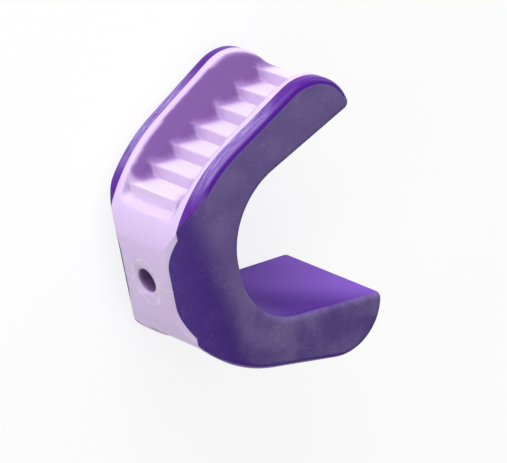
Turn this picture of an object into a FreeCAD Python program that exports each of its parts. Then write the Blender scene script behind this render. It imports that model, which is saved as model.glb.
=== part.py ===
import FreeCAD, Part
import os
import math
import Sketcher

# Bite block: a C-shaped mouth prop that lies on its side.
# X runs from the spine to the open end of the C, Y from the lower wing to the upper one and
# Z across the width. Both wings are mirror images about Y = 0. Sizes are in millimetres.

os.makedirs("parts", exist_ok=True)

doc = FreeCAD.newDocument("BiteBlock")

SIZES = [
    # Side profile, measured from the middle of the C
    ("spine_face", 21.05, "middle of the C to the outer face of the spine"),
    ("spine_flat", 2.65, "half height of the flat part of the spine face"),
    ("shoulder_radius", 12.5, "outer curve next to the spine"),
    ("shoulder_height", 10.0, "mid-plane to where the shoulder curve opens out"),
    ("crown_radius", 20.5, "outer curve from the shoulder to the wing"),
    ("rim_angle", 19.7, "slope of each wing's outer rim, degrees"),
    ("wing_angle", 13.5, "slope of each wing's inner face, degrees"),
    ("wing_reach", 14.35, "middle of the C to the end of a wing, along it"),
    ("tip_flat", 0.15, "flat of a wing's end, between its two rounded corners"),
    ("tip_corner", 1.1, "inner corner of a wing's end"),
    ("inner_offset", 11.72, "middle of the C to a wing's inner face"),
    ("inner_back", 11.53, "middle of the C to the inner face of the spine"),
    ("inner_corner", 10.6, "curve between the spine and a wing, inside"),
    # Plan across the width
    ("half_width", 9.7, "middle of the C to each side face"),
    ("side_draft", 2.3, "angle by which the sides close toward the spine, degrees"),
    ("nose_radius", 6.7, "round between the spine face and each side face"),
    ("nose_trim", 0.03, "what the rounded nose takes off the spine face"),
    # Edge rounds
    ("rim_round", 1.2, "edges where the side faces meet the outer rims"),
    ("inner_round", 1.0, "edges where the side faces meet the wing ends and the inside of the C"),
    # Liner
    ("band_half", 7.6, "half width of the liner at the middle of the C"),
    ("band_draft", 2.4, "angle by which the liner closes toward the spine, degrees"),
    ("liner_skin", 0.55, "thickness of the liner over the spine"),
    ("body_skin", 0.9, "thickness of the body under the liner"),
    # Tooth troughs
    ("rib_top", 15.5, "middle of the C to the rib tops"),
    ("rib_height", 1.7, "rib top to the foot of its steep face"),
    ("rib_run", 0.7, "length of a rib's steep face along the wing"),
    ("rib_pitch", 4.285, "rib to rib"),
    ("first_rib", 12.07, "middle of the C to the first rib, along the wing"),
    ("rib_half", 5.35, "half width of a trough at the rib tops"),
    ("wall_draft", 12.5, "lean of the trough walls, degrees"),
    ("floor_round", 1.7, "corner between trough floor and wall"),
    ("crest_round", 0.22, "round along the top of each rib"),
    # Cord hole
    ("bore_radius", 1.8, "hole through the spine"),
    ("mouth_bevel", 0.3, "bevel at the edge of the hole on the spine face"),
    ("lining_wall", 0.8, "thickness of the liner round the hole"),
    ("lining_depth", 3.0, "spine face to the end of the liner in the hole"),
]
RIB_COUNT = 7
REACH = 30.0
OVERSHOOT = 0.5
FLOOR_MARGIN = 0.15

sheet = doc.addObject("Spreadsheet::Sheet", "Sizes")
for row, (alias, value, note) in enumerate(SIZES, start=1):
    sheet.set("A%d" % row, alias)
    sheet.set("B%d" % row, str(value))
    sheet.set("C%d" % row, note)
    sheet.setAlias("B%d" % row, alias)
doc.recompute()


def size(alias):
    """Returns the number that a named cell of the sheet holds."""
    return float(sheet.get(alias))


def radians(alias):
    return math.radians(size(alias))


def vec(x, y):
    return FreeCAD.Vector(x, y, 0)


def new_body(name):
    body = doc.addObject("PartDesign::Body", name)
    body.Label = name
    return body


def plane_of(body, role):
    for feature in body.Origin.OriginFeatures:
        if feature.Role == role:
            return feature
    raise ValueError(role)


def new_sketch(body, name, role):
    sketch = body.newObject("Sketcher::SketchObject", name)
    sketch.AttachmentSupport = [(plane_of(body, role), "")]
    sketch.MapMode = "FlatFace"
    return sketch


def bind(sketch, kind, where, value, formula):
    """Adds a measured constraint and binds it to the sheet."""
    index = sketch.addConstraint(Sketcher.Constraint(kind, *where, value))
    sketch.setExpression("Constraints[%d]" % index, formula)
    return index


def chain(sketch, pieces, corners):
    """Draws lines and arcs end to end. Joints named in corners are sharp, the others tangent."""
    for piece in pieces:
        sketch.addGeometry(piece["shape"], False)
    count = len(pieces)
    for index in range(count):
        after = (index + 1) % count
        ends = (index, pieces[index]["end"], after, pieces[after]["start"])
        kind = "Coincident" if index in corners else "Tangent"
        sketch.addConstraint(Sketcher.Constraint(kind, *ends))


def line(start, end):
    return {"shape": Part.LineSegment(start, end), "start": 1, "end": 2}


def arc(centre, radius, first, last):
    """An arc drawn from the angle first to last, in degrees, either way round."""
    circle = Part.Circle(centre, FreeCAD.Vector(0, 0, 1), radius)
    low, high = sorted((math.radians(first), math.radians(last)))
    forward = last > first
    return {
        "shape": Part.ArcOfCircle(circle, low, high),
        "start": 1 if forward else 2,
        "end": 2 if forward else 1,
    }


def polar(centre, radius, degrees):
    angle = math.radians(degrees)
    return vec(centre.x + radius * math.cos(angle), centre.y + radius * math.sin(angle))


def pad_both_ways(body, sketch, name, length_formula):
    pad = body.newObject("PartDesign::Pad", name)
    pad.Profile = sketch
    pad.Midplane = True
    pad.setExpression("Length", length_formula)
    return pad


def mirror(body, feature, name, role):
    mirrored = body.newObject("PartDesign::Mirrored", name)
    mirrored.Originals = [feature]
    mirrored.MirrorPlane = (plane_of(body, role), [""])
    body.Tip = mirrored
    return mirrored


def side_profile():
    """The C seen from the side: one half drawn, the other mirrored."""
    body = new_body("side_profile")
    sketch = new_sketch(body, "side_outline", "XY_Plane")
    shoulder_rise = size("shoulder_height") - size("spine_flat")
    shoulder_turn = math.degrees(math.asin(shoulder_rise / size("shoulder_radius")))
    rim_normal = 90 - size("rim_angle")
    shoulder_centre = vec(size("shoulder_radius") - size("spine_face"), size("spine_flat"))
    shoulder_end = polar(shoulder_centre, size("shoulder_radius"), 180 - shoulder_turn)
    crown_centre = polar(shoulder_end, size("crown_radius"), -shoulder_turn)
    crown_end = polar(crown_centre, size("crown_radius"), 180 - rim_normal)
    rim_out = polar(vec(0, 0), 1, 180 - rim_normal)
    rim_offset = crown_end.dot(rim_out)
    wing_out = polar(vec(0, 0), 1, 90 + size("wing_angle"))
    wing_along = polar(vec(0, 0), 1, size("wing_angle"))
    # The tip's round touches the rim line and fills what its flat leaves of the wing's end
    end_top = rim_offset - size("wing_reach") * wing_along.dot(rim_out)
    end_height = end_top / wing_out.dot(rim_out) - size("inner_offset")
    turn = math.radians(180 - rim_normal - size("wing_angle"))
    tip_radius = (end_height - size("tip_corner") - size("tip_flat")) / math.tan(turn / 2)
    rise = rim_offset - tip_radius
    reach = size("wing_reach") - tip_radius
    across = rim_out.x * wing_along.y - rim_out.y * wing_along.x
    tip_x = (rise * wing_along.y - reach * rim_out.y) / across
    tip_y = (reach * rim_out.x - rise * wing_along.x) / across
    tip_centre = vec(tip_x, tip_y)
    corner_centre = wing_along * (size("wing_reach") - size("tip_corner"))
    corner_centre = corner_centre + wing_out * (size("inner_offset") + size("tip_corner"))
    inner_x = size("inner_corner") - size("inner_back")
    inner_y = (size("inner_offset") - size("inner_corner") - wing_out.x * inner_x) / wing_out.y
    inner_centre = vec(inner_x, inner_y)
    spine_low = vec(-size("spine_face"), 0)
    spine_high = vec(-size("spine_face"), size("spine_flat"))
    inner_low = vec(-size("inner_back"), 0)
    wing = size("wing_angle")
    end_outer = polar(tip_centre, tip_radius, wing)
    end_inner = polar(corner_centre, size("tip_corner"), wing)
    inner_tip = polar(corner_centre, size("tip_corner"), wing - 90)
    inner_turn = polar(inner_centre, size("inner_corner"), wing + 90)
    pieces = [
        line(spine_low, spine_high),
        arc(shoulder_centre, size("shoulder_radius"), 180, 180 - shoulder_turn),
        arc(crown_centre, size("crown_radius"), 180 - shoulder_turn, 180 - rim_normal),
        line(crown_end, polar(tip_centre, tip_radius, 180 - rim_normal)),
        arc(tip_centre, tip_radius, 180 - rim_normal, wing),
        line(end_outer, end_inner),
        arc(corner_centre, size("tip_corner"), wing, wing - 90),
        line(inner_tip, inner_turn),
        arc(inner_centre, size("inner_corner"), wing + 90, 180),
        line(polar(inner_centre, size("inner_corner"), 180), inner_low),
        line(inner_low, spine_low),
    ]
    chain(sketch, pieces, corners=(9, 10))
    add = sketch.addConstraint
    add(Sketcher.Constraint("Vertical", 0))
    add(Sketcher.Constraint("Horizontal", 10))
    add(Sketcher.Constraint("Vertical", 9))
    add(Sketcher.Constraint("PointOnObject", 0, 1, -1))
    add(Sketcher.Constraint("Perpendicular", 5, 7))
    bind(sketch, "DistanceX", (0, 1, -1, 1), size("spine_face"), "Sizes.spine_face")
    bind(sketch, "DistanceY", (-1, 1, 0, 2), size("spine_flat"), "Sizes.spine_flat")
    bind(sketch, "Radius", (1,), size("shoulder_radius"), "Sizes.shoulder_radius")
    bind(sketch, "DistanceY", (-1, 1, 1, 1), size("shoulder_height"), "Sizes.shoulder_height")
    bind(sketch, "Radius", (2,), size("crown_radius"), "Sizes.crown_radius")
    bind(sketch, "Angle", (-1, 1, 3, 1), radians("rim_angle"), "Sizes.rim_angle * 1 deg")
    bind(sketch, "Distance", (5, 1, 5, 2), size("tip_flat"), "Sizes.tip_flat")
    bind(sketch, "Radius", (6,), size("tip_corner"), "Sizes.tip_corner")
    bind(sketch, "Angle", (-1, 1, 7, 2), radians("wing_angle"), "Sizes.wing_angle * 1 deg")
    bind(sketch, "Distance", (-1, 1, 7), size("inner_offset"), "Sizes.inner_offset")
    bind(sketch, "Distance", (-1, 1, 5), size("wing_reach"), "Sizes.wing_reach")
    bind(sketch, "DistanceX", (9, 2, -1, 1), size("inner_back"), "Sizes.inner_back")
    bind(sketch, "Radius", (8,), size("inner_corner"), "Sizes.inner_corner")
    pad = pad_both_ways(body, sketch, "side_pad", "4 * Sizes.half_width")
    mirror(body, pad, "both_wings", "XZ_Plane")
    return body


def width_plan(name, rounded):
    """The outline seen along Y, with drafted sides and either a square or a rounded spine end."""
    body = new_body(name)
    sketch = new_sketch(body, name + "_outline", "XZ_Plane")
    draft = size("side_draft")
    side_out = polar(vec(0, 0), 1, 90 + draft)
    side_along = polar(vec(0, 0), 1, draft)
    side_foot = side_out * size("half_width")
    open_top = side_foot + side_along * ((REACH - side_foot.x) / side_along.x)
    if rounded:
        low_x = size("nose_trim") - size("spine_face")
        low_formula = "Sizes.spine_face - Sizes.nose_trim"
        radius = size("nose_radius")
        centre_x = low_x + radius
        centre_y = (size("half_width") - radius - side_out.x * centre_x) / side_out.y
        centre = vec(centre_x, centre_y)
        pieces = [
            line(vec(low_x, 0), vec(low_x, centre_y)),
            arc(centre, radius, 180, 90 + draft),
            line(polar(centre, radius, 90 + draft), open_top),
        ]
        corners = (2, 3, 4)
    else:
        low_x = -size("spine_face") - OVERSHOOT
        low_formula = "Sizes.spine_face + %s" % OVERSHOOT
        low_top = side_foot + side_along * ((low_x - side_foot.x) / side_along.x)
        pieces = [line(vec(low_x, 0), low_top), line(low_top, open_top)]
        corners = (0, 1, 2, 3)
    pieces.append(line(open_top, vec(REACH, 0)))
    pieces.append(line(vec(REACH, 0), vec(low_x, 0)))
    chain(sketch, pieces, corners)
    count = len(pieces)
    side_line = count - 3
    end_line = count - 2
    add = sketch.addConstraint
    add(Sketcher.Constraint("Vertical", 0))
    add(Sketcher.Constraint("Vertical", end_line))
    add(Sketcher.Constraint("Horizontal", count - 1))
    add(Sketcher.Constraint("PointOnObject", 0, 1, -1))
    add(Sketcher.Constraint("DistanceX", -1, 1, end_line, 1, REACH))
    bind(sketch, "DistanceX", (0, 1, -1, 1), -low_x, low_formula)
    if rounded:
        bind(sketch, "Radius", (1,), radius, "Sizes.nose_radius")
    bind(sketch, "Angle", (-1, 1, side_line, 1), radians("side_draft"), "Sizes.side_draft * 1 deg")
    bind(sketch, "Distance", (-1, 1, side_line), size("half_width"), "Sizes.half_width")
    pad = pad_both_ways(body, sketch, name + "_pad", "4 * Sizes.spine_face")
    mirror(body, pad, name + "_both_sides", "XY_Plane")
    return body


def on_side_face(face):
    """Tells whether a face of the blank looks along the width."""
    first_u, last_u, first_v, last_v = face.ParameterRange
    normal = face.normalAt((first_u + last_u) / 2, (first_v + last_v) / 2)
    return abs(normal.z) > 0.3


def wing_place(point):
    """A point's distance along its wing and off the middle of the C, either wing alike."""
    angle = radians("wing_angle")
    along = point.x * math.cos(angle) + abs(point.y) * math.sin(angle)
    off = abs(point.y) * math.cos(angle) - point.x * math.sin(angle)
    return along, off


def edge_radius(point):
    """The round at a point on the border of a side face: it narrows along the curve of the tip."""
    along, off = wing_place(point)
    if along > size("wing_reach") - 0.05:
        return size("inner_round")
    inside_back = point.x > -size("inner_back") - 0.05
    if inside_back and off < size("inner_offset") + size("tip_corner"):
        return size("inner_round")
    return size("rim_round")


def rounded_blank(side, plan):
    """Both materials together: the side profile held within the plan, with its edges rounded."""
    blank = doc.addObject("Part::MultiCommon", "blank")
    blank.Shapes = [side, plan]
    blank.Refine = True
    doc.recompute()
    edges = []
    for number, edge in enumerate(blank.Shape.Edges, start=1):
        faces = blank.Shape.ancestorsOfType(edge, Part.Face)
        if [on_side_face(face) for face in faces].count(True) == 1:
            start = edge.valueAt(edge.FirstParameter)
            end = edge.valueAt(edge.LastParameter)
            edges.append((number, edge_radius(start), edge_radius(end)))
    rounds = doc.addObject("Part::Fillet", "rounded_blank")
    rounds.Base = blank
    rounds.Edges = edges
    return rounds


def liner_zone():
    """The space that the liner fills: outside its underside and within its band."""
    under = new_body("liner_underside")
    sketch = new_sketch(under, "underside_outline", "XY_Plane")
    wing = size("wing_angle")
    wing_out = polar(vec(0, 0), 1, 90 + wing)
    wing_along = polar(vec(0, 0), 1, wing)
    offset = size("inner_offset") + size("body_skin")
    radius = size("shoulder_radius") - size("liner_skin")
    centre = vec(size("shoulder_radius") - size("spine_face"), size("spine_flat"))
    foot = centre - wing_out * (centre.dot(wing_out) - offset)
    meet = foot - wing_along * math.sqrt(radius ** 2 - (centre.dot(wing_out) - offset) ** 2)
    meet_angle = math.degrees(math.atan2(meet.y - centre.y, meet.x - centre.x))
    far_x = REACH
    far_y = (offset - wing_out.x * far_x) / wing_out.y
    spine_x = size("liner_skin") - size("spine_face")
    pieces = [
        line(vec(spine_x, 0), vec(spine_x, size("spine_flat"))),
        arc(centre, radius, 180, meet_angle),
        line(meet, vec(far_x, far_y)),
        line(vec(far_x, far_y), vec(far_x, 2 * REACH)),
        line(vec(far_x, 2 * REACH), vec(-REACH, 2 * REACH)),
        line(vec(-REACH, 2 * REACH), vec(-REACH, 0)),
        line(vec(-REACH, 0), vec(spine_x, 0)),
    ]
    chain(sketch, pieces, corners=(1, 2, 3, 4, 5, 6))
    add = sketch.addConstraint
    add(Sketcher.Constraint("Vertical", 0))
    add(Sketcher.Constraint("Vertical", 3))
    add(Sketcher.Constraint("Horizontal", 4))
    add(Sketcher.Constraint("Vertical", 5))
    add(Sketcher.Constraint("Horizontal", 6))
    add(Sketcher.Constraint("PointOnObject", 0, 1, -1))
    add(Sketcher.Constraint("DistanceX", -1, 1, 3, 1, REACH))
    add(Sketcher.Constraint("DistanceX", 5, 1, -1, 1, REACH))
    add(Sketcher.Constraint("DistanceY", -1, 1, 3, 2, 2 * REACH))
    bind(sketch, "DistanceX", (0, 1, -1, 1), -spine_x, "Sizes.spine_face - Sizes.liner_skin")
    bind(sketch, "DistanceY", (-1, 1, 0, 2), size("spine_flat"), "Sizes.spine_flat")
    bind(sketch, "Radius", (1,), radius, "Sizes.shoulder_radius - Sizes.liner_skin")
    bind(sketch, "Angle", (-1, 1, 2, 1), radians("wing_angle"), "Sizes.wing_angle * 1 deg")
    bind(sketch, "Distance", (-1, 1, 2), offset, "Sizes.inner_offset + Sizes.body_skin")
    pad = pad_both_ways(under, sketch, "underside_pad", "4 * Sizes.half_width")
    mirror(under, pad, "both_undersides", "XZ_Plane")

    band = new_body("liner_band")
    sketch = new_sketch(band, "band_outline", "XZ_Plane")
    slope = math.tan(radians("band_draft"))
    left = vec(-REACH, size("band_half") - REACH * slope)
    right = vec(REACH, size("band_half") + REACH * slope)
    middle = vec(0, size("band_half"))
    pieces = [
        line(vec(-REACH, 0), left),
        line(left, middle),
        line(middle, right),
        line(right, vec(REACH, 0)),
        line(vec(REACH, 0), vec(-REACH, 0)),
    ]
    chain(sketch, pieces, corners=(0, 1, 2, 3, 4))
    add = sketch.addConstraint
    add(Sketcher.Constraint("Vertical", 0))
    add(Sketcher.Constraint("Vertical", 3))
    add(Sketcher.Constraint("Horizontal", 4))
    add(Sketcher.Constraint("PointOnObject", 0, 1, -1))
    add(Sketcher.Constraint("PointOnObject", 1, 2, -2))
    add(Sketcher.Constraint("Parallel", 1, 2))
    add(Sketcher.Constraint("DistanceX", -1, 1, 3, 1, REACH))
    add(Sketcher.Constraint("DistanceX", 0, 1, -1, 1, REACH))
    bind(sketch, "Angle", (-1, 1, 2, 1), radians("band_draft"), "Sizes.band_draft * 1 deg")
    bind(sketch, "DistanceY", (-1, 1, 1, 2), size("band_half"), "Sizes.band_half")
    pad = pad_both_ways(band, sketch, "band_pad", "4 * Sizes.spine_face")
    mirror(band, pad, "both_band_halves", "XY_Plane")

    zone = doc.addObject("Part::MultiCommon", "liner_zone")
    zone.Shapes = [under, band]
    return zone


def trough_cutter():
    """The upper tooth trough: seven buttress ribs across a channel with rounded floor corners."""
    ribs = new_body("rib_profile")
    sketch = new_sketch(ribs, "rib_outline", "XY_Plane")
    top = size("rib_top")
    foot = top - size("rib_height")
    points = [vec(size("first_rib") + size("rib_pitch") - size("rib_run"), foot)]
    for rib in range(RIB_COUNT):
        along = size("first_rib") - rib * size("rib_pitch")
        points.append(vec(along, top))
        points.append(vec(along - size("rib_run"), foot))
    points.append(vec(-REACH, foot))
    points.append(vec(-REACH, REACH))
    points.append(vec(points[0].x, REACH))
    pieces = [line(start, end) for start, end in zip(points, points[1:] + points[:1])]
    chain(sketch, pieces, corners=range(len(pieces)))
    add = sketch.addConstraint
    add(Sketcher.Constraint("Horizontal", 2 * RIB_COUNT))
    add(Sketcher.Constraint("Horizontal", 2 * RIB_COUNT + 2))
    add(Sketcher.Constraint("Vertical", 2 * RIB_COUNT + 1))
    add(Sketcher.Constraint("Vertical", 2 * RIB_COUNT + 3))
    add(Sketcher.Constraint("DistanceX", 2 * RIB_COUNT, 2, -1, 1, REACH))
    add(Sketcher.Constraint("DistanceY", -1, 1, 2 * RIB_COUNT + 1, 2, REACH))
    foot_formula = "Sizes.rib_top - Sizes.rib_height"
    start_formula = "Sizes.first_rib + Sizes.rib_pitch - Sizes.rib_run"
    bind(sketch, "DistanceY", (-1, 1, 0, 1), foot, foot_formula)
    bind(sketch, "DistanceX", (-1, 1, 0, 1), points[0].x, start_formula)
    for rib in range(RIB_COUNT):
        ramp = 2 * rib
        face = ramp + 1
        height = sketch.addConstraint(Sketcher.Constraint("DistanceY", -1, 1, ramp, 2, top))
        sketch.setExpression("Constraints[%d]" % height, "Sizes.rib_top")
        bind(sketch, "DistanceX", (face, 2, ramp, 2), size("rib_run"), "Sizes.rib_run")
        bind(sketch, "DistanceY", (face, 2, ramp, 2), size("rib_height"), "Sizes.rib_height")
        ramp_formula = "Sizes.rib_pitch - Sizes.rib_run"
        bind(sketch, "DistanceX", (ramp, 2, ramp, 1), size("rib_pitch") - size("rib_run"), ramp_formula)
    pad = pad_both_ways(ribs, sketch, "rib_pad", "4 * Sizes.half_width")
    doc.recompute()
    crest_names = []
    for number, edge in enumerate(pad.Shape.Edges, start=1):
        box = edge.BoundBox
        straight_across = box.XLength < 0.01 and box.YLength < 0.01
        if straight_across and abs(box.YMin - top) < 0.01:
            crest_names.append("Edge%d" % number)
    rounds = ribs.newObject("PartDesign::Fillet", "crest_rounds")
    rounds.Base = (pad, crest_names)
    rounds.setExpression("Radius", "Sizes.crest_round")
    ribs.Tip = rounds

    channel = new_body("trough_channel")
    sketch = new_sketch(channel, "channel_outline", "YZ_Plane")
    # Sketch X is the distance from the middle of the C, sketch Y the width
    floor = foot - FLOOR_MARGIN
    lean = math.tan(radians("wall_draft"))
    floor_half = size("rib_half") - lean * (top - floor)
    mouth_half = size("rib_half") + lean * (REACH - top)
    pieces = [
        line(vec(floor, -floor_half), vec(REACH, -mouth_half)),
        line(vec(REACH, -mouth_half), vec(REACH, mouth_half)),
        line(vec(REACH, mouth_half), vec(floor, floor_half)),
        line(vec(floor, floor_half), vec(floor, -floor_half)),
    ]
    chain(sketch, pieces, corners=(0, 1, 2, 3))
    add = sketch.addConstraint
    add(Sketcher.Constraint("Symmetric", 0, 2, 1, 2, -1))
    add(Sketcher.Constraint("Symmetric", 0, 1, 2, 2, -1))
    add(Sketcher.Constraint("DistanceX", -1, 1, 1, 1, REACH))
    bind(sketch, "DistanceX", (-1, 1, 3, 1), floor, foot_formula + " - %s" % FLOOR_MARGIN)
    bind(sketch, "Angle", (-1, 1, 2, 2), radians("wall_draft"), "Sizes.wall_draft * 1 deg")
    depth_formula = "(Sizes.rib_height + %s)" % FLOOR_MARGIN
    half_formula = "2 * (Sizes.rib_half - tan(Sizes.wall_draft * 1 deg) * %s)" % depth_formula
    bind(sketch, "DistanceY", (3, 2, 3, 1), 2 * floor_half, half_formula)
    pad = pad_both_ways(channel, sketch, "channel_pad", "4 * Sizes.spine_face")
    doc.recompute()
    corner_names = []
    for number, edge in enumerate(pad.Shape.Edges, start=1):
        low, high = edge.BoundBox.YMin, edge.BoundBox.YMax
        if edge.BoundBox.XLength > 1 and abs(low - floor) < 0.01 and abs(high - floor) < 0.01:
            corner_names.append("Edge%d" % number)
    rounds = channel.newObject("PartDesign::Fillet", "floor_rounds")
    rounds.Base = (pad, corner_names)
    rounds.setExpression("Radius", "Sizes.floor_round")
    channel.Tip = rounds

    cutter = doc.addObject("Part::MultiCommon", "upper_trough")
    cutter.Shapes = [ribs, channel]
    cutter.Placement = FreeCAD.Placement(FreeCAD.Vector(), FreeCAD.Rotation(FreeCAD.Vector(0, 0, 1), 10))
    cutter.setExpression("Placement.Rotation.Angle", "Sizes.wing_angle * 1 deg")
    return cutter


def fuse(name, shapes):
    joined = doc.addObject("Part::MultiFuse", name)
    joined.Shapes = shapes
    return joined


def cut(name, base, tool):
    result = doc.addObject("Part::Cut", name)
    result.Base = base
    result.Tool = tool
    result.Refine = True
    return result


def along_bore(kind, name, start_formula):
    """A round solid on the hole's axis that runs from start_formula out through the spine face."""
    solid = doc.addObject(kind, name)
    turn = FreeCAD.Rotation(FreeCAD.Vector(0, 1, 0), -90)
    solid.Placement = FreeCAD.Placement(FreeCAD.Vector(0, 0, 0), turn)
    solid.setExpression("Placement.Base.x", start_formula)
    return solid


side = side_profile()
blank = rounded_blank(side, width_plan("square_plan", False))
block = doc.addObject("Part::MultiCommon", "nosed_block")
block.Shapes = [blank, width_plan("nose_plan", True)]
block.Refine = True
lining = along_bore("Part::Cylinder", "hole_lining", "Sizes.lining_depth - Sizes.spine_face")
lining.setExpression("Radius", "Sizes.bore_radius + Sizes.lining_wall")
lining.setExpression("Height", "Sizes.lining_depth + %s" % OVERSHOOT)
zone = fuse("liner_space", [liner_zone(), lining])
upper = trough_cutter()
lower = doc.addObject("Part::Mirroring", "lower_trough")
lower.Source = upper
lower.Normal = FreeCAD.Vector(0, 1, 0)
bore = along_bore("Part::Cylinder", "cord_bore", "0 * Sizes.spine_face")
bore.setExpression("Radius", "Sizes.bore_radius")
bore.setExpression("Height", "1.5 * Sizes.spine_face")
mouth = along_bore("Part::Cone", "hole_mouth", "Sizes.mouth_bevel - Sizes.spine_face")
mouth.setExpression("Radius1", "Sizes.bore_radius")
mouth.setExpression("Radius2", "Sizes.bore_radius + 2 * Sizes.mouth_bevel")
mouth.setExpression("Height", "2 * Sizes.mouth_bevel")
openings = fuse("openings", [upper, lower, bore, mouth])
doc.recompute()
body = cut("body_without_liner", block, zone)
soft_body = cut("soft_body", body, bore)
skin = doc.addObject("Part::MultiCommon", "liner_blank")
skin.Shapes = [block, zone]
tooth_liner = cut("tooth_liner", skin, openings)

# The lower side face lies flat on the floor, with the middle of the length over the origin
lying = FreeCAD.Rotation(FreeCAD.Vector(0, 1, 0), -size("side_draft"))
outline = block.Shape.copy()
outline.Placement = FreeCAD.Placement(FreeCAD.Vector(), lying)
extent = outline.optimalBoundingBox(False, False)
place = FreeCAD.Vector(-(extent.XMin + extent.XMax) / 2, 0, size("half_width"))
for part in (soft_body, tooth_liner):
    part.Placement = FreeCAD.Placement(place, lying)
doc.recompute()

for part in doc.Objects:
    if "Invalid" in part.State or "Error" in part.State:
        raise RuntimeError("%s: %s" % (part.Name, part.State))
for part in (soft_body, tooth_liner):
    if part.Shape.isNull() or not part.Shape.isValid():
        raise RuntimeError(part.Name)
    part.Label = part.Name
    part.Shape.exportStep("parts/%s.step" % part.Label)
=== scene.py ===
import bpy
import bmesh
import math
import numpy
from mathutils import Matrix, Vector
from mathutils.kdtree import KDTree


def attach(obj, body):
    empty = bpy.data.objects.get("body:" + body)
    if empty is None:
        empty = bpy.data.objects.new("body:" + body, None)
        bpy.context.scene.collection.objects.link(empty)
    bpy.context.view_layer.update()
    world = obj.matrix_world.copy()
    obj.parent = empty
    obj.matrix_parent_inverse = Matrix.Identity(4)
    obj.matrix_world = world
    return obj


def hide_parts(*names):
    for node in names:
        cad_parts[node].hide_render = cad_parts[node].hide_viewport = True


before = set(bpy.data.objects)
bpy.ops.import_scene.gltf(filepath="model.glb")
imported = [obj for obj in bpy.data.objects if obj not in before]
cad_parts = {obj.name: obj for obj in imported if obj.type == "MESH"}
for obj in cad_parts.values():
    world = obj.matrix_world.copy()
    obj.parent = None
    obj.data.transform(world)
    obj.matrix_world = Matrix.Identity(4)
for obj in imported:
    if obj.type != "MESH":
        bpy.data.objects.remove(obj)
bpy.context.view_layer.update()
MM = 0.001


# Camera at the photograph's angle, looking down on the block where it lies
CAMERA_PLACE = Vector((-269.9708, 234.1921, 343.7471)) * MM
CAMERA_RIGHT = Vector((0.705203, -0.160987, 0.690486))
CAMERA_UP = Vector((0.440678, 0.862442, -0.248992))
CAMERA_LENS = 253.23
CAMERA_SENSOR = 36.0
CAMERA_NEAR = 0.01
CAMERA_FAR = 10.0

# The block's own directions: it lies on a drafted side, so its width leans a little from upright
LEAN = math.radians(2.3)
BLOCK_MIDDLE = Vector((4.878629, 0.0, 9.7)) * MM
LENGTHWISE = Vector((math.cos(LEAN), 0.0, math.sin(LEAN)))
HEIGHTWISE = Vector((0.0, 1.0, 0.0))
WIDTHWISE = Vector((-math.sin(LEAN), 0.0, math.cos(LEAN)))
WING_SLOPE = math.radians(13.5)


def turned(right, up):
    """The rotation of something whose own X is right and whose own Y is up."""
    back = right.cross(up)
    return Matrix((right, up, back)).transposed().to_4x4()


def place_object(name, data):
    """A new object in the scene."""
    placed = bpy.data.objects.new(name, data)
    bpy.context.scene.collection.objects.link(placed)
    return placed


def make_camera():
    data = bpy.data.cameras.new("camera")
    data.lens = CAMERA_LENS
    data.sensor_width = CAMERA_SENSOR
    data.clip_start = CAMERA_NEAR
    data.clip_end = CAMERA_FAR
    camera = place_object("camera", data)
    camera.matrix_world = Matrix.Translation(CAMERA_PLACE) @ turned(CAMERA_RIGHT, CAMERA_UP)
    bpy.context.scene.camera = camera


# Building blocks of the materials

def group(name, inputs, outputs):
    """An empty node group with its sockets: (kind, name, value) for each input."""
    tree = bpy.data.node_groups.new(name, "ShaderNodeTree")
    for kind, label, value in inputs:
        tree.interface.new_socket(label, in_out="INPUT", socket_type=kind).default_value = value
    for kind, label in outputs:
        tree.interface.new_socket(label, in_out="OUTPUT", socket_type=kind)
    entry = tree.nodes.new("NodeGroupInput")
    leave = tree.nodes.new("NodeGroupOutput")
    return tree, entry.outputs, leave.inputs


def node(tree, kind, **values):
    """A node with its settings; a key that is a socket's name sets that socket's value."""
    made = tree.nodes.new(kind)
    for key, value in values.items():
        label = key.replace("_", " ")
        if label in made.inputs:
            made.inputs[label].default_value = value
        else:
            setattr(made, key, value)
    return made


def feed(tree, socket, value):
    """Links a socket from another one, or sets it to a plain value."""
    if isinstance(value, bpy.types.NodeSocket):
        tree.links.new(value, socket)
    else:
        socket.default_value = value


def use_group(tree, kind, **values):
    """A node group in use; each key is the name of one of its inputs."""
    made = tree.nodes.new("ShaderNodeGroup")
    made.node_tree = kind
    for key, value in values.items():
        feed(tree, made.inputs[key], value)
    return made.outputs


def maths(tree, operation, first, second=None):
    made = node(tree, "ShaderNodeMath", operation=operation)
    feed(tree, made.inputs[0], first)
    if second is not None:
        feed(tree, made.inputs[1], second)
    return made.outputs[0]


def add(tree, first, second):
    return maths(tree, "ADD", first, second)


def subtract(tree, first, second):
    return maths(tree, "SUBTRACT", first, second)


def times(tree, first, *others):
    """The product of two or more values."""
    product = first
    for other in others:
        product = maths(tree, "MULTIPLY", product, other)
    return product


def size_of(tree, value):
    return maths(tree, "ABSOLUTE", value)


def greater(tree, first, second):
    return maths(tree, "MAXIMUM", first, second)


def reach_toward(tree, vector, direction, scale=1.0):
    """How far a vector reaches in a direction, times a scale."""
    made = node(tree, "ShaderNodeVectorMath", operation="DOT_PRODUCT")
    tree.links.new(vector, made.inputs[0])
    made.inputs[1].default_value = direction * scale
    return made.outputs["Value"]


def fade(tree, value, low, high, to_low=0.0, to_high=1.0):
    """A smooth step: to_low where the value is low, to_high where it is high."""
    made = node(tree, "ShaderNodeMapRange", interpolation_type="SMOOTHSTEP")
    feed(tree, made.inputs["Value"], value)
    feed(tree, made.inputs["From Min"], low)
    feed(tree, made.inputs["From Max"], high)
    feed(tree, made.inputs["To Min"], to_low)
    feed(tree, made.inputs["To Max"], to_high)
    return made.outputs["Result"]


def between(tree, share, at_none, at_full):
    """A value that goes smoothly from at_none to at_full as the share goes from 0 to 1."""
    return fade(tree, share, 0.0, 1.0, at_none, at_full)


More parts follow.
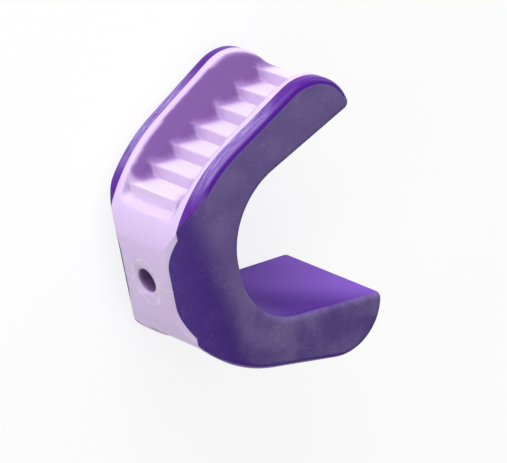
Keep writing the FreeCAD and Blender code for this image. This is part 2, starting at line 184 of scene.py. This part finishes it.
def blend(tree, share, first, second):
    """A colour between first and second."""
    made = node(tree, "ShaderNodeMix", data_type="RGBA")
    feed(tree, made.inputs["Factor"], share)
    feed(tree, made.inputs["A"], first)
    feed(tree, made.inputs["B"], second)
    return made.outputs["Result"]


def object_point(tree):
    return node(tree, "ShaderNodeTexCoord").outputs["Object"]


def noise(tree, point, **values):
    """Noise at a point, from 0 to 1; a value may be a plain number or a socket."""
    made = tree.nodes.new("ShaderNodeTexNoise")
    tree.links.new(point, made.inputs["Vector"])
    for key, value in values.items():
        feed(tree, made.inputs[key], value)
    return made.outputs["Fac"]


def bump(tree, height):
    """The surface's direction, tilted by a height in metres."""
    made = node(tree, "ShaderNodeBump", Strength=1.0, Distance=1.0)
    feed(tree, made.inputs["Height"], height)
    return made.outputs["Normal"]


def new_material(name):
    material = bpy.data.materials.new(name)
    material.use_nodes = True
    return material, material.node_tree, material.node_tree.nodes["Principled BSDF"]


# Shared node groups

FLOAT = "NodeSocketFloat"
COLOUR = "NodeSocketColor"
GREY = (0.5, 0.5, 0.5, 1)

# Levels of noise between which each pattern fades in
DRIFT_LEVELS = (0.36, 0.66)
CLOUD_LEVELS = (0.35, 0.70)
STREAK_LEVELS = (0.35, 0.65)

FLECK_SOFTNESS = 0.16
DRIFT_LEAST = 0.12
STREAK_FINENESS_ALONG = 0.35


def directions_group():
    """Where a point is on the block, in millimetres, and which way its surface faces.

    Length runs from the spine to the mouth of the C, Height between the wings and Width from
    side to side. Along and Off are measured along a wing and away from the middle of the C.
    Sideways is 1 on a side face, and Forward is 1 where the surface faces the spine's way.
    """
    names = ("Length", "Height", "Width", "Along", "Off", "Sideways", "Forward")
    tree, _, leave = group("block directions", [], [(FLOAT, name) for name in names])
    place = node(tree, "ShaderNodeTexCoord").outputs
    shift = node(tree, "ShaderNodeVectorMath", operation="SUBTRACT")
    tree.links.new(place["Object"], shift.inputs[0])
    shift.inputs[1].default_value = BLOCK_MIDDLE
    moved = shift.outputs["Vector"]
    length = reach_toward(tree, moved, LENGTHWISE, 1 / MM)
    height = reach_toward(tree, moved, HEIGHTWISE, 1 / MM)
    width = reach_toward(tree, moved, WIDTHWISE, 1 / MM)
    from_middle = size_of(tree, height)
    rise = times(tree, from_middle, math.sin(WING_SLOPE))
    run = times(tree, length, math.cos(WING_SLOPE))
    off = times(tree, from_middle, math.cos(WING_SLOPE))
    fall = times(tree, length, math.sin(WING_SLOPE))
    sideways = size_of(tree, reach_toward(tree, place["Normal"], WIDTHWISE))
    forward = reach_toward(tree, place["Normal"], LENGTHWISE, -1.0)
    along = add(tree, run, rise)
    away = subtract(tree, off, fall)
    for name, value in zip(names, (length, height, width, along, away, sideways, forward)):
        tree.links.new(value, leave[name])
    return tree


def flecks_group():
    """Fine irregular pale flecks, gathered in drifts, in a moulded surface."""
    inputs = [
        (COLOUR, "Color", GREY),
        (COLOUR, "Fleck", GREY),
        (FLOAT, "Scale", 3000.0),
        (FLOAT, "Threshold", 0.6),
        (FLOAT, "Amount", 0.5),
    ]
    tree, entry, leave = group("fine flecks", inputs, [(COLOUR, "Color")])
    place = object_point(tree)
    grain = noise(tree, place, Scale=entry["Scale"], Detail=2.0, Roughness=0.65)
    drift = noise(tree, place, Scale=330.0, Detail=2.0)
    top = add(tree, entry["Threshold"], FLECK_SOFTNESS)
    grains = fade(tree, grain, entry["Threshold"], top)
    drifts = fade(tree, drift, *DRIFT_LEVELS, to_low=DRIFT_LEAST)
    mask = times(tree, grains, drifts, entry["Amount"])
    tree.links.new(blend(tree, mask, entry["Color"], entry["Fleck"]), leave["Color"])
    return tree


def clouds_group():
    """Slow cloudy changes of shade, as pigment leaves them in a moulding."""
    inputs = [
        (COLOUR, "Color", GREY),
        (COLOUR, "Cloud", GREY),
        (FLOAT, "Scale", 200.0),
        (FLOAT, "Amount", 0.3),
    ]
    tree, entry, leave = group("pigment clouds", inputs, [(COLOUR, "Color")])
    cloud = noise(tree, object_point(tree), Scale=entry["Scale"], Detail=3.0, Roughness=0.5)
    mask = times(tree, fade(tree, cloud, *CLOUD_LEVELS), entry["Amount"])
    tree.links.new(blend(tree, mask, entry["Color"], entry["Cloud"]), leave["Color"])
    return tree


def streaks_group():
    """Fine streaks that run along the wings, as the mould leaves them on a rim; they break up the
    painted highlight there.
    """
    tree, entry, leave = group("mould streaks", [(FLOAT, "Fineness", 5.0)], [(FLOAT, "Mask")])
    where = use_group(tree, DIRECTIONS)
    point = node(tree, "ShaderNodeCombineXYZ")
    feed(tree, point.inputs["X"], times(tree, where["Along"], STREAK_FINENESS_ALONG))
    feed(tree, point.inputs["Y"], times(tree, where["Width"], entry["Fineness"]))
    streak = noise(tree, point.outputs["Vector"], Scale=1.0, Detail=3.0, Roughness=0.6)
    tree.links.new(fade(tree, streak, *STREAK_LEVELS), leave["Mask"])
    return tree


def skin_group():
    """The fine uneven skin of a soft moulding, as a height in metres."""
    inputs = [(FLOAT, "Scale", 2500.0), (FLOAT, "Depth", 0.01 * MM)]
    tree, entry, leave = group("moulded skin", inputs, [(FLOAT, "Height")])
    grain = noise(tree, object_point(tree), Scale=entry["Scale"], Detail=4.0, Roughness=0.6)
    tree.links.new(times(tree, grain, entry["Depth"]), leave["Height"])
    return tree


DIRECTIONS = directions_group()
FLECKS = flecks_group()
CLOUDS = clouds_group()
STREAKS = streaks_group()
SKIN = skin_group()


def squared_share(tree, value, whole):
    """The square of how large a value is beside a whole."""
    return maths(tree, "POWER", size_of(tree, maths(tree, "DIVIDE", value, whole)), 2.0)


def from_hole(tree, where, half_height=1.0, half_width=1.0):
    """Distance from the cord hole's axis, as a share of an oval's half height and half width."""
    up = squared_share(tree, where["Height"], half_height)
    across = squared_share(tree, where["Width"], half_width)
    return maths(tree, "SQRT", add(tree, up, across))


# Millimetres from the hole's axis, over which its painted shade inside begins
HOLE_EDGE = (2.02, 1.86)


def within_hole(tree, where):
    """One inside the cord hole and nothing beyond its wall."""
    return fade(tree, from_hole(tree, where), *HOLE_EDGE)


# The rubber body

RUBBER_RIM = (0.110, 0.018, 0.310, 1)
# Painted highlight along the middle of the rims
RUBBER_PAINTED_RIM_LIGHT = (0.225, 0.105, 0.480, 1)
# Painted sheen, and painted glints, on the crown of the rims
RUBBER_PAINTED_SHEEN = (0.520, 0.440, 0.820, 1)
# Painted light: the inner faces' lit colour, brighter than the rubber's own
RUBBER_INNER_LIT = (0.255, 0.105, 0.630, 1)
# Painted shade in the near corner where the inner faces meet the spine
RUBBER_CORNER_SHADE = (0.085, 0.016, 0.290, 1)
RUBBER_DEEP = (0.085, 0.010, 0.300, 1)
# Painted shade on the rounded nose beside the spine
RUBBER_NOSE_SHADE = (0.074, 0.032, 0.235, 1)
RUBBER_SIDE = (0.122, 0.074, 0.280, 1)
# Pigment clouds on the sides, and painted sheen toward the upper wing
RUBBER_BLOOM_AND_SHEEN = (0.212, 0.153, 0.372, 1)
RUBBER_FLECK = (0.480, 0.420, 0.660, 1)
RUBBER_DUST = (0.270, 0.215, 0.430, 1)
# Painted shade inside the cord hole
RUBBER_BORE_SHADE = (0.020, 0.008, 0.045, 1)

# Places on the block between which the rubber changes, in millimetres
# Where the rims' painted highlight and their coat fade in, from the spine and from the tips
RIM_LIGHT_AND_COAT_FROM_SPINE = (-14.5, -9.0)
RIM_LIGHT_AND_COAT_FROM_TIP = (6.0, -1.0)
# From the spine, painted shade on the nose gives way to the dusty sides; the slant tilts that line
# with height
SIDE_SHADE_AND_DUST_FROM_SPINE = (-17.3, -13.0)
SIDE_SHADE_AND_DUST_SLANT = 0.15
# Heights over which painted sheen lightens the sides toward the upper wing
UPPER_SHEEN_HEIGHTS = (-14.0, 8.0)
# Along the wings, slanted across them, painted corner shade gives way to the painted lit colour
INNER_SHADE_FROM_CORNER = (-4.5, 8.5)
INNER_SLANT = 0.9
NOSE_LENGTHS = (-14.0, -17.0)
NOSE_HEIGHTS = (11.5, 7.0)
OUTER_FACE_OFF = (12.8, 14.0)

# How far the surface faces sideways where each part begins and where it is full
RIM_CROWN_TILTS = (0.55, 0.10)
RIM_DEEP_TILTS = (0.45, 0.86)
INNER_SIDE_TILTS = (0.30, 0.75)
OUTER_SIDE_TILTS = (0.93, 0.992)
HIGH_NOSE_TILTS = (0.50, 0.92)
LOW_NOSE_TILTS = (-0.20, 0.30)

# Shares of each layer of colour
# The painted rim highlight, plain and streaked, and the painted sheen and glints on the crown
RIM_LIGHT_PLAIN = 0.25
RIM_LIGHT_STREAKED = 0.70
PAINTED_SHEEN_SHARE = 0.80
CROWN_PAINTED_GLINTS = 0.50
# Share of the painted sheen at the top of the sides
UPPER_SHEEN = 0.50
DUST_AMOUNTS = (0.08, 0.36)
FLECK_AMOUNTS = (0.20, 0.42)

ROUGHNESS_BLOOMED = 0.55
ROUGHNESS_GLOSSY = 0.36
RIM_COATS = (0.10, 0.50)


def rim_middle(tree, where):
    """One along the middle of the rims, and less toward the tips and the spine."""
    from_spine = fade(tree, where["Along"], *RIM_LIGHT_AND_COAT_FROM_SPINE)
    from_tip = fade(tree, where["Along"], *RIM_LIGHT_AND_COAT_FROM_TIP)
    return times(tree, from_spine, from_tip)


def rubber_rim(tree, where):
    """The colour of the outer rims: a streaky painted highlight along their middle, with painted
    sheen and painted glints on their crown.
    """
    streaks = use_group(tree, STREAKS, Fineness=5.0)["Mask"]
    sheen_streaks = use_group(tree, STREAKS, Fineness=11.0)["Mask"]
    middle = rim_middle(tree, where)
    streaky = add(tree, times(tree, streaks, RIM_LIGHT_STREAKED), RIM_LIGHT_PLAIN)
    rim_lit = blend(tree, times(tree, middle, streaky), RUBBER_RIM, RUBBER_PAINTED_RIM_LIGHT)
    crown = times(tree, middle, fade(tree, where["Sideways"], *RIM_CROWN_TILTS))
    sheen = times(tree, sheen_streaks, streaks, crown, PAINTED_SHEEN_SHARE)
    sheeny = blend(tree, sheen, rim_lit, RUBBER_PAINTED_SHEEN)
    # Painted glints: flecks of the painted sheen on the crown
    return use_group(
        tree, FLECKS, Scale=5200.0, Threshold=0.52, Color=sheeny, Fleck=RUBBER_PAINTED_SHEEN,
        Amount=times(tree, crown, CROWN_PAINTED_GLINTS),
    )["Color"]


def rubber_side(tree, where):
    """The colour of the flat sides: dusty, clouded and flecked, with painted sheen toward the
    upper wing and painted shade round the nose, where dust and flecks are fewer.
    """
    clouds = use_group(
        tree, CLOUDS, Scale=210.0, Amount=0.85, Color=RUBBER_SIDE, Cloud=RUBBER_BLOOM_AND_SHEEN,
    )["Color"]
    slanted = add(tree, where["Length"], times(tree, where["Height"], SIDE_SHADE_AND_DUST_SLANT))
    from_spine = fade(tree, slanted, *SIDE_SHADE_AND_DUST_FROM_SPINE)
    upper = fade(tree, where["Height"], *UPPER_SHEEN_HEIGHTS, to_high=UPPER_SHEEN)
    # Painted shade round the nose, painted sheen toward the upper wing
    sheened_and_shaded = blend(tree, from_spine, RUBBER_NOSE_SHADE, blend(tree, upper, clouds, RUBBER_BLOOM_AND_SHEEN))
    dusty = use_group(
        tree, FLECKS, Scale=6500.0, Threshold=0.46, Color=sheened_and_shaded, Fleck=RUBBER_DUST,
        Amount=between(tree, from_spine, *DUST_AMOUNTS),
    )["Color"]
    return use_group(
        tree, FLECKS, Scale=3600.0, Threshold=0.57, Color=dusty, Fleck=RUBBER_FLECK,
        Amount=between(tree, from_spine, *FLECK_AMOUNTS),
    )["Color"]


def rubber_inner(tree, where):
    """The colour of the wings' inner faces: a painted lit colour toward the tips, and painted
    shade toward the near corner by the spine.
    """
    from_corner = subtract(tree, where["Along"], times(tree, where["Width"], INNER_SLANT))
    return blend(tree, fade(tree, from_corner, *INNER_SHADE_FROM_CORNER), RUBBER_CORNER_SHADE, RUBBER_INNER_LIT)


def rubber_side_mask(tree, where, outer):
    """One on the flat sides and on the rounded nose beside the spine."""
    nose = fade(tree, where["Length"], *NOSE_LENGTHS)
    from_middle = size_of(tree, where["Height"])
    nose_tilts = [
        fade(tree, from_middle, *NOSE_HEIGHTS, high_up, low_down)
        for high_up, low_down in zip(HIGH_NOSE_TILTS, LOW_NOSE_TILTS)
    ]
    nose_side = times(tree, nose, fade(tree, where["Sideways"], *nose_tilts))
    side_tilts = [between(tree, outer, *ends) for ends in zip(INNER_SIDE_TILTS, OUTER_SIDE_TILTS)]
    return greater(tree, fade(tree, where["Sideways"], *side_tilts), nose_side)


def body_material():
    """Purple soft rubber: glossy along the rims, with a greyish bloom on its flat sides; painted
    highlight on the rims, painted light and shade on the inner faces and the sides, and painted
    shade in the cord hole.
    """
    material, tree, shader = new_material("purple soft rubber")
    where = use_group(tree, DIRECTIONS)
    outer = fade(tree, where["Off"], *OUTER_FACE_OFF)
    side = rubber_side_mask(tree, where, outer)
    deep = times(tree, fade(tree, where["Sideways"], *RIM_DEEP_TILTS), outer)
    lit = blend(tree, outer, rubber_inner(tree, where), rubber_rim(tree, where))
    edged = blend(tree, deep, lit, RUBBER_DEEP)
    shown = blend(tree, side, edged, rubber_side(tree, where))
    # Painted shade darkens the inside of the cord hole
    hole_shaded = blend(tree, within_hole(tree, where), shown, RUBBER_BORE_SHADE)
    feed(tree, shader.inputs["Base Color"], hole_shaded)
    gloss = times(tree, outer, subtract(tree, 1.0, side))
    roughness = between(tree, gloss, ROUGHNESS_BLOOMED, ROUGHNESS_GLOSSY)
    feed(tree, shader.inputs["Roughness"], roughness)
    coat = times(tree, gloss, between(tree, rim_middle(tree, where), *RIM_COATS))
    feed(tree, shader.inputs["Coat Weight"], coat)
    skin = use_group(tree, SKIN, Scale=1800.0, Depth=0.02 * MM)["Height"]
    feed(tree, shader.inputs["Normal"], bump(tree, skin))
    shader.inputs["Coat Roughness"].default_value = 0.20
    shader.inputs["Specular IOR Level"].default_value = 0.12
    return material


# The liner's plastic

LINER_PALE = (0.760, 0.600, 0.920, 1)
LINER_CLOUD = (0.720, 0.560, 0.885, 1)
# Painted light on the troughs' up-facing ramps and on their end by the spine
LINER_LIT_RAMP = (0.820, 0.735, 0.915, 1)
# Painted shade on the rib fronts, which face the spine
LINER_FRONT_SHADE = (0.780, 0.615, 0.880, 1)
# Pink painted shade on the ramps along the foot of the walls
LINER_PINK_SHADE = (0.600, 0.370, 0.720, 1)
# The body showing through the slim trough walls, darkened further by painted shade
LINER_THIN_WALL_SHADE = (0.280, 0.140, 0.425, 1)
# Painted shade inside the liner's part of the cord hole
LINER_HOLE_SHADE = (0.300, 0.150, 0.420, 1)
LINER_FLASH = (0.950, 0.900, 0.990, 1)

# The flash round the cord hole and the parting line beside it, in millimetres
FLASH_HALF_HEIGHT = 3.35
FLASH_HALF_WIDTH = 2.75
FLASH_FROM_WING = (-18.0, -20.0)
PARTING_HEIGHT = -0.3
PARTING_EDGE = (0.13, 0.03)
PARTING_FROM_HOLE = (2.7, 3.1)

# The same, as shares of the flash's oval, and levels of the noise that breaks its line
FLASH_WANDER = 0.75
FLASH_LINE_EDGE = (0.065, 0.020)
FLASH_INSIDE_EDGE = (1.0, 0.94)
FLASH_BREAK_LEVELS = (0.28, 0.46)

# The troughs: the plane of their walls, and places between which the liner changes, in millimetres
RIB_TOP_OFF = 15.5
TROUGH_HALF_WIDTH = 5.35
WALL_LEAN = math.tan(math.radians(12.5))
WING_HEIGHTS = (10.2, 11.0)
TROUGH_EDGE = (0.60, 0.15)
RIBS_FROM_SPINE = (-13.2, -12.2)
RAMP_END_ALONG = (-12.9, -13.4)
FRONT_END_FROM_WALL = (-0.15, -0.70)
# Past the walls: where the pink painted shade at their foot, and the dark wall colour, fade in
FOOT_SHADE_FROM_WALL = (-3.0, -0.3)
THIN_SHADE_FROM_WALL = (-1.9, 0.0)
LOW_WALL_OFF = (17.4, 16.4)
THIN_SHADE_FROM_SPINE = (-12.7, -11.9)
# Lengths over which painted shade deepens into the liner's cord hole
HOLE_SHADE_LENGTHS = (-21.0, -20.1)

# How far the surface faces forward or sideways where each part begins and where it is full
RIB_FRONT_FORWARD = (0.40, 0.85)
UPWARD_FORWARD = (0.35, -0.05)
WALL_SIDEWAYS = (0.30, 0.92)

# Shares of each layer of colour
# Shares of the pink painted shade at the walls' foot, and of the dark wall colour on the rib
# fronts
FOOT_SHADE_SHARE = 0.75
FOOT_SHADE_SHARE_ON_FRONTS = 0.45
THIN_SHADE_LESS_ON_FRONTS = 0.85
THIN_SHADE_LEAST_AT_SPINE = 0.60
FLASH_FLECKS = 0.55
FLASH_LINE_SHARE = 0.65


def flash_group():
    """Thin ragged flash round the cord hole, and the parting line beside it."""
    tree, _, leave = group("moulding flash", [], [(FLOAT, "Line"), (FLOAT, "Rough")])
    where = use_group(tree, DIRECTIONS)
    place = object_point(tree)
    wander = noise(tree, place, Scale=900.0, Detail=3.0, Roughness=0.6)
    wave = times(tree, subtract(tree, wander, 0.5), FLASH_WANDER)
    ring = add(tree, from_hole(tree, where, FLASH_HALF_HEIGHT, FLASH_HALF_WIDTH), wave)
    on_spine = fade(tree, where["Length"], *FLASH_FROM_WING)
    ring_line = fade(tree, size_of(tree, subtract(tree, ring, 1.0)), *FLASH_LINE_EDGE)
    breaks = fade(tree, noise(tree, place, Scale=1400.0, Detail=2.0), *FLASH_BREAK_LEVELS)
    from_parting = size_of(tree, subtract(tree, where["Height"], PARTING_HEIGHT))
    beside = fade(tree, size_of(tree, where["Width"]), *PARTING_FROM_HOLE)
    parting = times(tree, fade(tree, from_parting, *PARTING_EDGE), beside)
    line = times(tree, greater(tree, times(tree, ring_line, breaks), parting), on_spine)
    tree.links.new(line, leave["Line"])
    rough = times(tree, fade(tree, ring, *FLASH_INSIDE_EDGE), on_spine)
    tree.links.new(rough, leave["Rough"])
    return tree


FLASH = flash_group()


def trough_masks(tree, where):
    """How far a point is past a trough's wall, in millimetres, and one inside the troughs."""
    on_wing = fade(tree, size_of(tree, where["Height"]), *WING_HEIGHTS)
    rise = times(tree, subtract(tree, where["Off"], RIB_TOP_OFF), WALL_LEAN)
    across = subtract(tree, size_of(tree, where["Width"]), TROUGH_HALF_WIDTH)
    past_wall = subtract(tree, across, rise)
    return past_wall, times(tree, fade(tree, past_wall, *TROUGH_EDGE), on_wing)


def trough_colour(tree, where, plain):
    """The liner's colour in its troughs: painted light on the up-facing ramps, painted shade on
    the rib fronts, pink painted shade along the foot of the walls, and dark walls where the body
    shows through, deepened by painted shade.
    """
    past_wall, trough = trough_masks(tree, where)
    front_facing = fade(tree, where["Forward"], *RIB_FRONT_FORWARD)
    upward = fade(tree, where["Forward"], *UPWARD_FORWARD)
    ramp_end = fade(tree, where["Along"], *RAMP_END_ALONG)
    # Painted light on the up-facing ramps and painted shade on the rib fronts
    lit_faces = times(tree, greater(tree, upward, ramp_end), trough)
    ramps_lit = blend(tree, lit_faces, plain, LINER_LIT_RAMP)
    fronts_shaded = blend(tree, times(tree, front_facing, trough), ramps_lit, LINER_FRONT_SHADE)
    ribbing = times(tree, trough, fade(tree, where["Along"], *RIBS_FROM_SPINE))
    # Pink painted shade along the foot of the walls, less on the rib fronts
    near_wall = times(tree, fade(tree, past_wall, *FOOT_SHADE_FROM_WALL), ribbing)
    on_fronts = between(tree, front_facing, 1.0, FOOT_SHADE_SHARE_ON_FRONTS)
    foot_shaded = blend(tree, times(tree, near_wall, on_fronts, FOOT_SHADE_SHARE), fronts_shaded, LINER_PINK_SHADE)
    fronts = times(tree, front_facing, fade(tree, past_wall, *FRONT_END_FROM_WALL))
    off_fronts = subtract(tree, 1.0, times(tree, fronts, THIN_SHADE_LESS_ON_FRONTS))
    # The walls: the body showing through, darkened by painted shade
    facing_wall = fade(tree, where["Sideways"], *WALL_SIDEWAYS)
    walls = greater(tree, fade(tree, where["Off"], *LOW_WALL_OFF), facing_wall)
    near_end = fade(tree, where["Along"], *THIN_SHADE_FROM_SPINE, to_low=THIN_SHADE_LEAST_AT_SPINE)
    toward_wall = fade(tree, past_wall, *THIN_SHADE_FROM_WALL)
    thin_wall_shade = times(tree, toward_wall, walls, off_fronts, trough, near_end)
    return blend(tree, thin_wall_shade, foot_shaded, LINER_THIN_WALL_SHADE)


def liner_height(tree, flash):
    """The liner's skin, rougher inside the flash and raised along it, in metres."""
    skin = use_group(tree, SKIN, Scale=1500.0, Depth=0.012 * MM)["Height"]
    rough = use_group(tree, SKIN, Scale=4500.0, Depth=0.12 * MM)["Height"]
    roughened = times(tree, rough, flash["Rough"])
    raised = times(tree, flash["Line"], 0.05 * MM)
    return add(tree, add(tree, skin, roughened), raised)


def liner_material():
    """Lavender soft plastic, milky, with the dark body showing through its slim trough walls,
    which painted shade darkens further; painted light and shade lie in the troughs and painted
    shade in the cord hole.
    """
    material, tree, shader = new_material("lavender soft plastic")
    where = use_group(tree, DIRECTIONS)
    flash = use_group(tree, FLASH)
    clouds = use_group(
        tree, CLOUDS, Scale=90.0, Amount=0.5, Color=LINER_PALE, Cloud=LINER_CLOUD,
    )["Color"]
    torn = use_group(
        tree, FLECKS, Scale=5500.0, Threshold=0.46, Fleck=LINER_FLASH,
        Color=trough_colour(tree, where, clouds), Amount=times(tree, flash["Rough"], FLASH_FLECKS),
    )["Color"]
    flashed = blend(tree, times(tree, flash["Line"], FLASH_LINE_SHARE), torn, LINER_FLASH)
    # Painted shade darkens the inside of the cord hole
    shade_depth = fade(tree, where["Length"], *HOLE_SHADE_LENGTHS)
    hole_shaded = blend(tree, times(tree, within_hole(tree, where), shade_depth), flashed, LINER_HOLE_SHADE)
    feed(tree, shader.inputs["Base Color"], hole_shaded)
    feed(tree, shader.inputs["Normal"], bump(tree, liner_height(tree, flash)))
    shader.inputs["Roughness"].default_value = 0.45
    shader.inputs["Subsurface Weight"].default_value = 0.25
    shader.inputs["Subsurface Radius"].default_value = (0.6, 0.4, 1.0)
    shader.inputs["Subsurface Scale"].default_value = 1.0 * MM
    return material


# Floor, world and lamps

FLOOR_COLOUR = (0.90, 0.895, 0.89, 1)
FLOOR_SEEN_SHARE = 0.72
FLOOR_SEEN_LEVEL = 1.15
FLOOR_REACH = 1.5
FLOOR_DROP = 0.02 * MM
WORLD_COLOUR = (0.97, 0.97, 1.0, 1)
WORLD_LEVEL = 0.30

# Each lamp's name, the direction it stands in, its distance, width and power
LAMPS = (
    ("overhead_lamp", (-0.15, 0.95, 0.20), 0.50, 0.45, 2.9),
    ("front_lamp", (-0.95, -0.22, 0.28), 0.60, 0.35, 0.85),
    ("mouth_lamp", (0.88, 0.46, 0.10), 0.60, 0.35, 1.0),
)
LAMP_TARGET = Vector((0.0, 0.0, 10.0)) * MM


def floor_material():
    """Pale floor that the camera sees nearly white, with the block's soft shadow kept."""
    material, tree, shader = new_material("pale floor")
    shader.inputs["Base Color"].default_value = FLOOR_COLOUR
    shader.inputs["Roughness"].default_value = 0.9
    shader.inputs["Specular IOR Level"].default_value = 0.1
    path = node(tree, "ShaderNodeLightPath").outputs
    mirrored = greater(tree, path["Is Glossy Ray"], path["Is Transmission Ray"])
    seen = greater(tree, path["Is Camera Ray"], mirrored)
    white = node(tree, "ShaderNodeEmission", Strength=FLOOR_SEEN_LEVEL)
    mixed = node(tree, "ShaderNodeMixShader")
    feed(tree, mixed.inputs["Fac"], times(tree, seen, FLOOR_SEEN_SHARE))
    tree.links.new(shader.outputs["BSDF"], mixed.inputs[1])
    tree.links.new(white.outputs["Emission"], mixed.inputs[2])
    tree.links.new(mixed.outputs["Shader"], tree.nodes["Material Output"].inputs["Surface"])
    return material


def make_floor():
    mesh = bpy.data.meshes.new("floor")
    corners = [
        (-FLOOR_REACH, -FLOOR_REACH, 0), (FLOOR_REACH, -FLOOR_REACH, 0),
        (FLOOR_REACH, FLOOR_REACH, 0), (-FLOOR_REACH, FLOOR_REACH, 0),
    ]
    mesh.from_pydata(corners, [], [(0, 1, 2, 3)])
    floor = place_object("floor", mesh)
    floor.location.z = -FLOOR_DROP
    mesh.materials.append(floor_material())


def make_world():
    world = bpy.data.worlds.new("studio")
    world.use_nodes = True
    bpy.context.scene.world = world
    background = world.node_tree.nodes["Background"].inputs
    background["Color"].default_value = WORLD_COLOUR
    background["Strength"].default_value = WORLD_LEVEL


def make_lamp(name, toward, distance, width, power):
    """A square lamp that stands off the block in the direction toward, and shines on it."""
    direction = Vector(toward).normalized()
    data = bpy.data.lights.new(name, "AREA")
    data.shape = "SQUARE"
    data.size = width
    data.energy = power
    lamp = place_object(name, data)
    lamp.location = LAMP_TARGET + direction * distance
    lamp.rotation_mode = "QUATERNION"
    lamp.rotation_quaternion = (-direction).to_track_quat("-Z", "Y")


# The liner, as a soft moulding whose trough lips, rib feet and trough ends are rounded

MERGE_REACH = 0.0001 * MM
SLIVER_SIZE = 0.001 * MM
FINE_EDGE = 0.36 * MM
FINE_REACH = 1.5 * MM
MOST_HALVINGS = 9

# Each pass of smoothing moves a point by SOFT_STEP, fading out with its distance from an edge
SOFT_PASSES = 18
SOFT_STEP = 0.5
SOFT_REACH = 1.0 * MM
SOFT_START = 1.9
SOFT_FALL = 1.8

CREASE_ANGLE = math.radians(28)
FLAT_ANGLE = math.radians(8)

# Which edges are rounded: places in millimetres, and how far their two faces look sideways
FOOT_ACROSS = (3.2, 5.3)
FOOT_OFF = (13.4, 16.2)
LIP_ACROSS = (4.5, 7.0)
LIP_TOP_TILTS = (0.9, 0.995)
TROUGH_END_ACROSS = 5.5
TROUGH_END_OFF = 16.2
TROUGH_END_ALONG = -11.0
FLATTEST_SIDE_TILT = 0.5


def within(value, limits):
    low, high = limits
    return low < value < high


def is_soft(edge):
    """Whether an edge is a trough lip, the foot of a rib, or the trough's end on the spine."""
    if len(edge.link_faces) != 2 or edge.calc_face_angle(0.0) < FLAT_ANGLE:
        return False
    less, more = sorted(abs(face.normal.dot(WIDTHWISE)) for face in edge.link_faces)
    middle = (edge.verts[0].co + edge.verts[1].co) / 2 - BLOCK_MIDDLE
    across = abs(middle.dot(WIDTHWISE)) / MM
    length = middle.dot(LENGTHWISE) / MM
    height = abs(middle.y) / MM
    along = length * math.cos(WING_SLOPE) + height * math.sin(WING_SLOPE)
    off = height * math.cos(WING_SLOPE) - length * math.sin(WING_SLOPE)
    if not edge.is_convex:
        return within(across, FOOT_ACROSS) and within(off, FOOT_OFF)
    if less < FLATTEST_SIDE_TILT and within(more, LIP_TOP_TILTS):
        return within(across, LIP_ACROSS)
    facing_out = more < FLATTEST_SIDE_TILT and across < TROUGH_END_ACROSS
    return facing_out and off > TROUGH_END_OFF and along < TROUGH_END_ALONG


def soft_points(shell):
    """Points along all the edges that a soft moulding rounds off."""
    points = []
    for edge in shell.edges:
        if is_soft(edge):
            start, end = edge.verts[0].co, edge.verts[1].co
            count = max(1, math.ceil((end - start).length / FINE_EDGE))
            points.extend(start.lerp(end, step / count) for step in range(count + 1))
    return points


def near_points(points):
    """A tree that finds the nearest of some points."""
    tree = KDTree(len(points))
    for index, point in enumerate(points):
        tree.insert(point, index)
    tree.balance()
    return tree


def refine(shell, tree):
    """Halves long edges near the points of the tree until all are fine there."""
    for _ in range(MOST_HALVINGS):
        long_edges = []
        for edge in shell.edges:
            start, end = edge.verts[0].co, edge.verts[1].co
            length = (end - start).length
            if length < FINE_EDGE:
                continue
            if tree.find((start + end) / 2)[2] < FINE_REACH + length / 2:
                long_edges.append(edge)
        if not long_edges:
            break
        bmesh.ops.subdivide_edges(shell, edges=long_edges, cuts=1, use_only_quads=False)
        bmesh.ops.triangulate(shell, faces=[face for face in shell.faces if len(face.verts) > 3])


def smoothing_shares(mesh, tree):
    """How far each pass moves each point of the mesh, as a share of the way."""
    shares = numpy.zeros(len(mesh.vertices))
    for vertex in mesh.vertices:
        distance = tree.find(vertex.co)[2]
        share = SOFT_START - SOFT_FALL * distance / SOFT_REACH
        shares[vertex.index] = min(1.0, max(0.0, share)) * SOFT_STEP
    return shares


def smooth(mesh, shares, passes):
    """Moves each point toward the middle of its neighbours, by its own share, several times."""
    count = len(mesh.vertices)
    edges = numpy.empty(2 * len(mesh.edges), dtype=numpy.int64)
    mesh.edges.foreach_get("vertices", edges)
    first, second = edges.reshape(-1, 2).T
    start = numpy.concatenate((first, second))
    end = numpy.concatenate((second, first))
    near = numpy.bincount(start, minlength=count)
    places = numpy.empty(3 * count)
    mesh.vertices.foreach_get("co", places)
    places = places.reshape(-1, 3)
    for _ in range(passes):
        middles = numpy.empty_like(places)
        for axis in range(3):
            middles[:, axis] = numpy.bincount(start, places[end, axis], minlength=count) / near
        places += (middles - places) * shares[:, None]
    mesh.vertices.foreach_set("co", places.ravel())
    mesh.update()


def make_liner():
    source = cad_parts["tooth_liner"]
    mesh = bpy.data.meshes.new("soft_liner")
    shell = bmesh.new()
    shell.from_mesh(source.data)
    bmesh.ops.remove_doubles(shell, verts=shell.verts, dist=MERGE_REACH)
    bmesh.ops.dissolve_degenerate(shell, dist=SLIVER_SIZE, edges=shell.edges)
    bmesh.ops.triangulate(shell, faces=shell.faces)
    tree = near_points(soft_points(shell))
    refine(shell, tree)
    shell.to_mesh(mesh)
    shell.free()
    smooth(mesh, smoothing_shares(mesh, tree), SOFT_PASSES)
    mesh.validate()
    mesh.polygons.foreach_set("use_smooth", [True] * len(mesh.polygons))
    mesh.set_sharp_from_angle(angle=CREASE_ANGLE)
    liner = place_object("soft_liner", mesh)
    even = liner.modifiers.new("even_shading", "WEIGHTED_NORMAL")
    even.keep_sharp = True
    mesh.materials.append(liner_material())
    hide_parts("tooth_liner")
    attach(liner, "root")


make_camera()
make_world()
make_floor()
for lamp_values in LAMPS:
    make_lamp(*lamp_values)

make_liner()
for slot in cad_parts["soft_body"].material_slots:
    slot.material = body_material()

bpy.context.scene.view_settings.view_transform = "Standard"
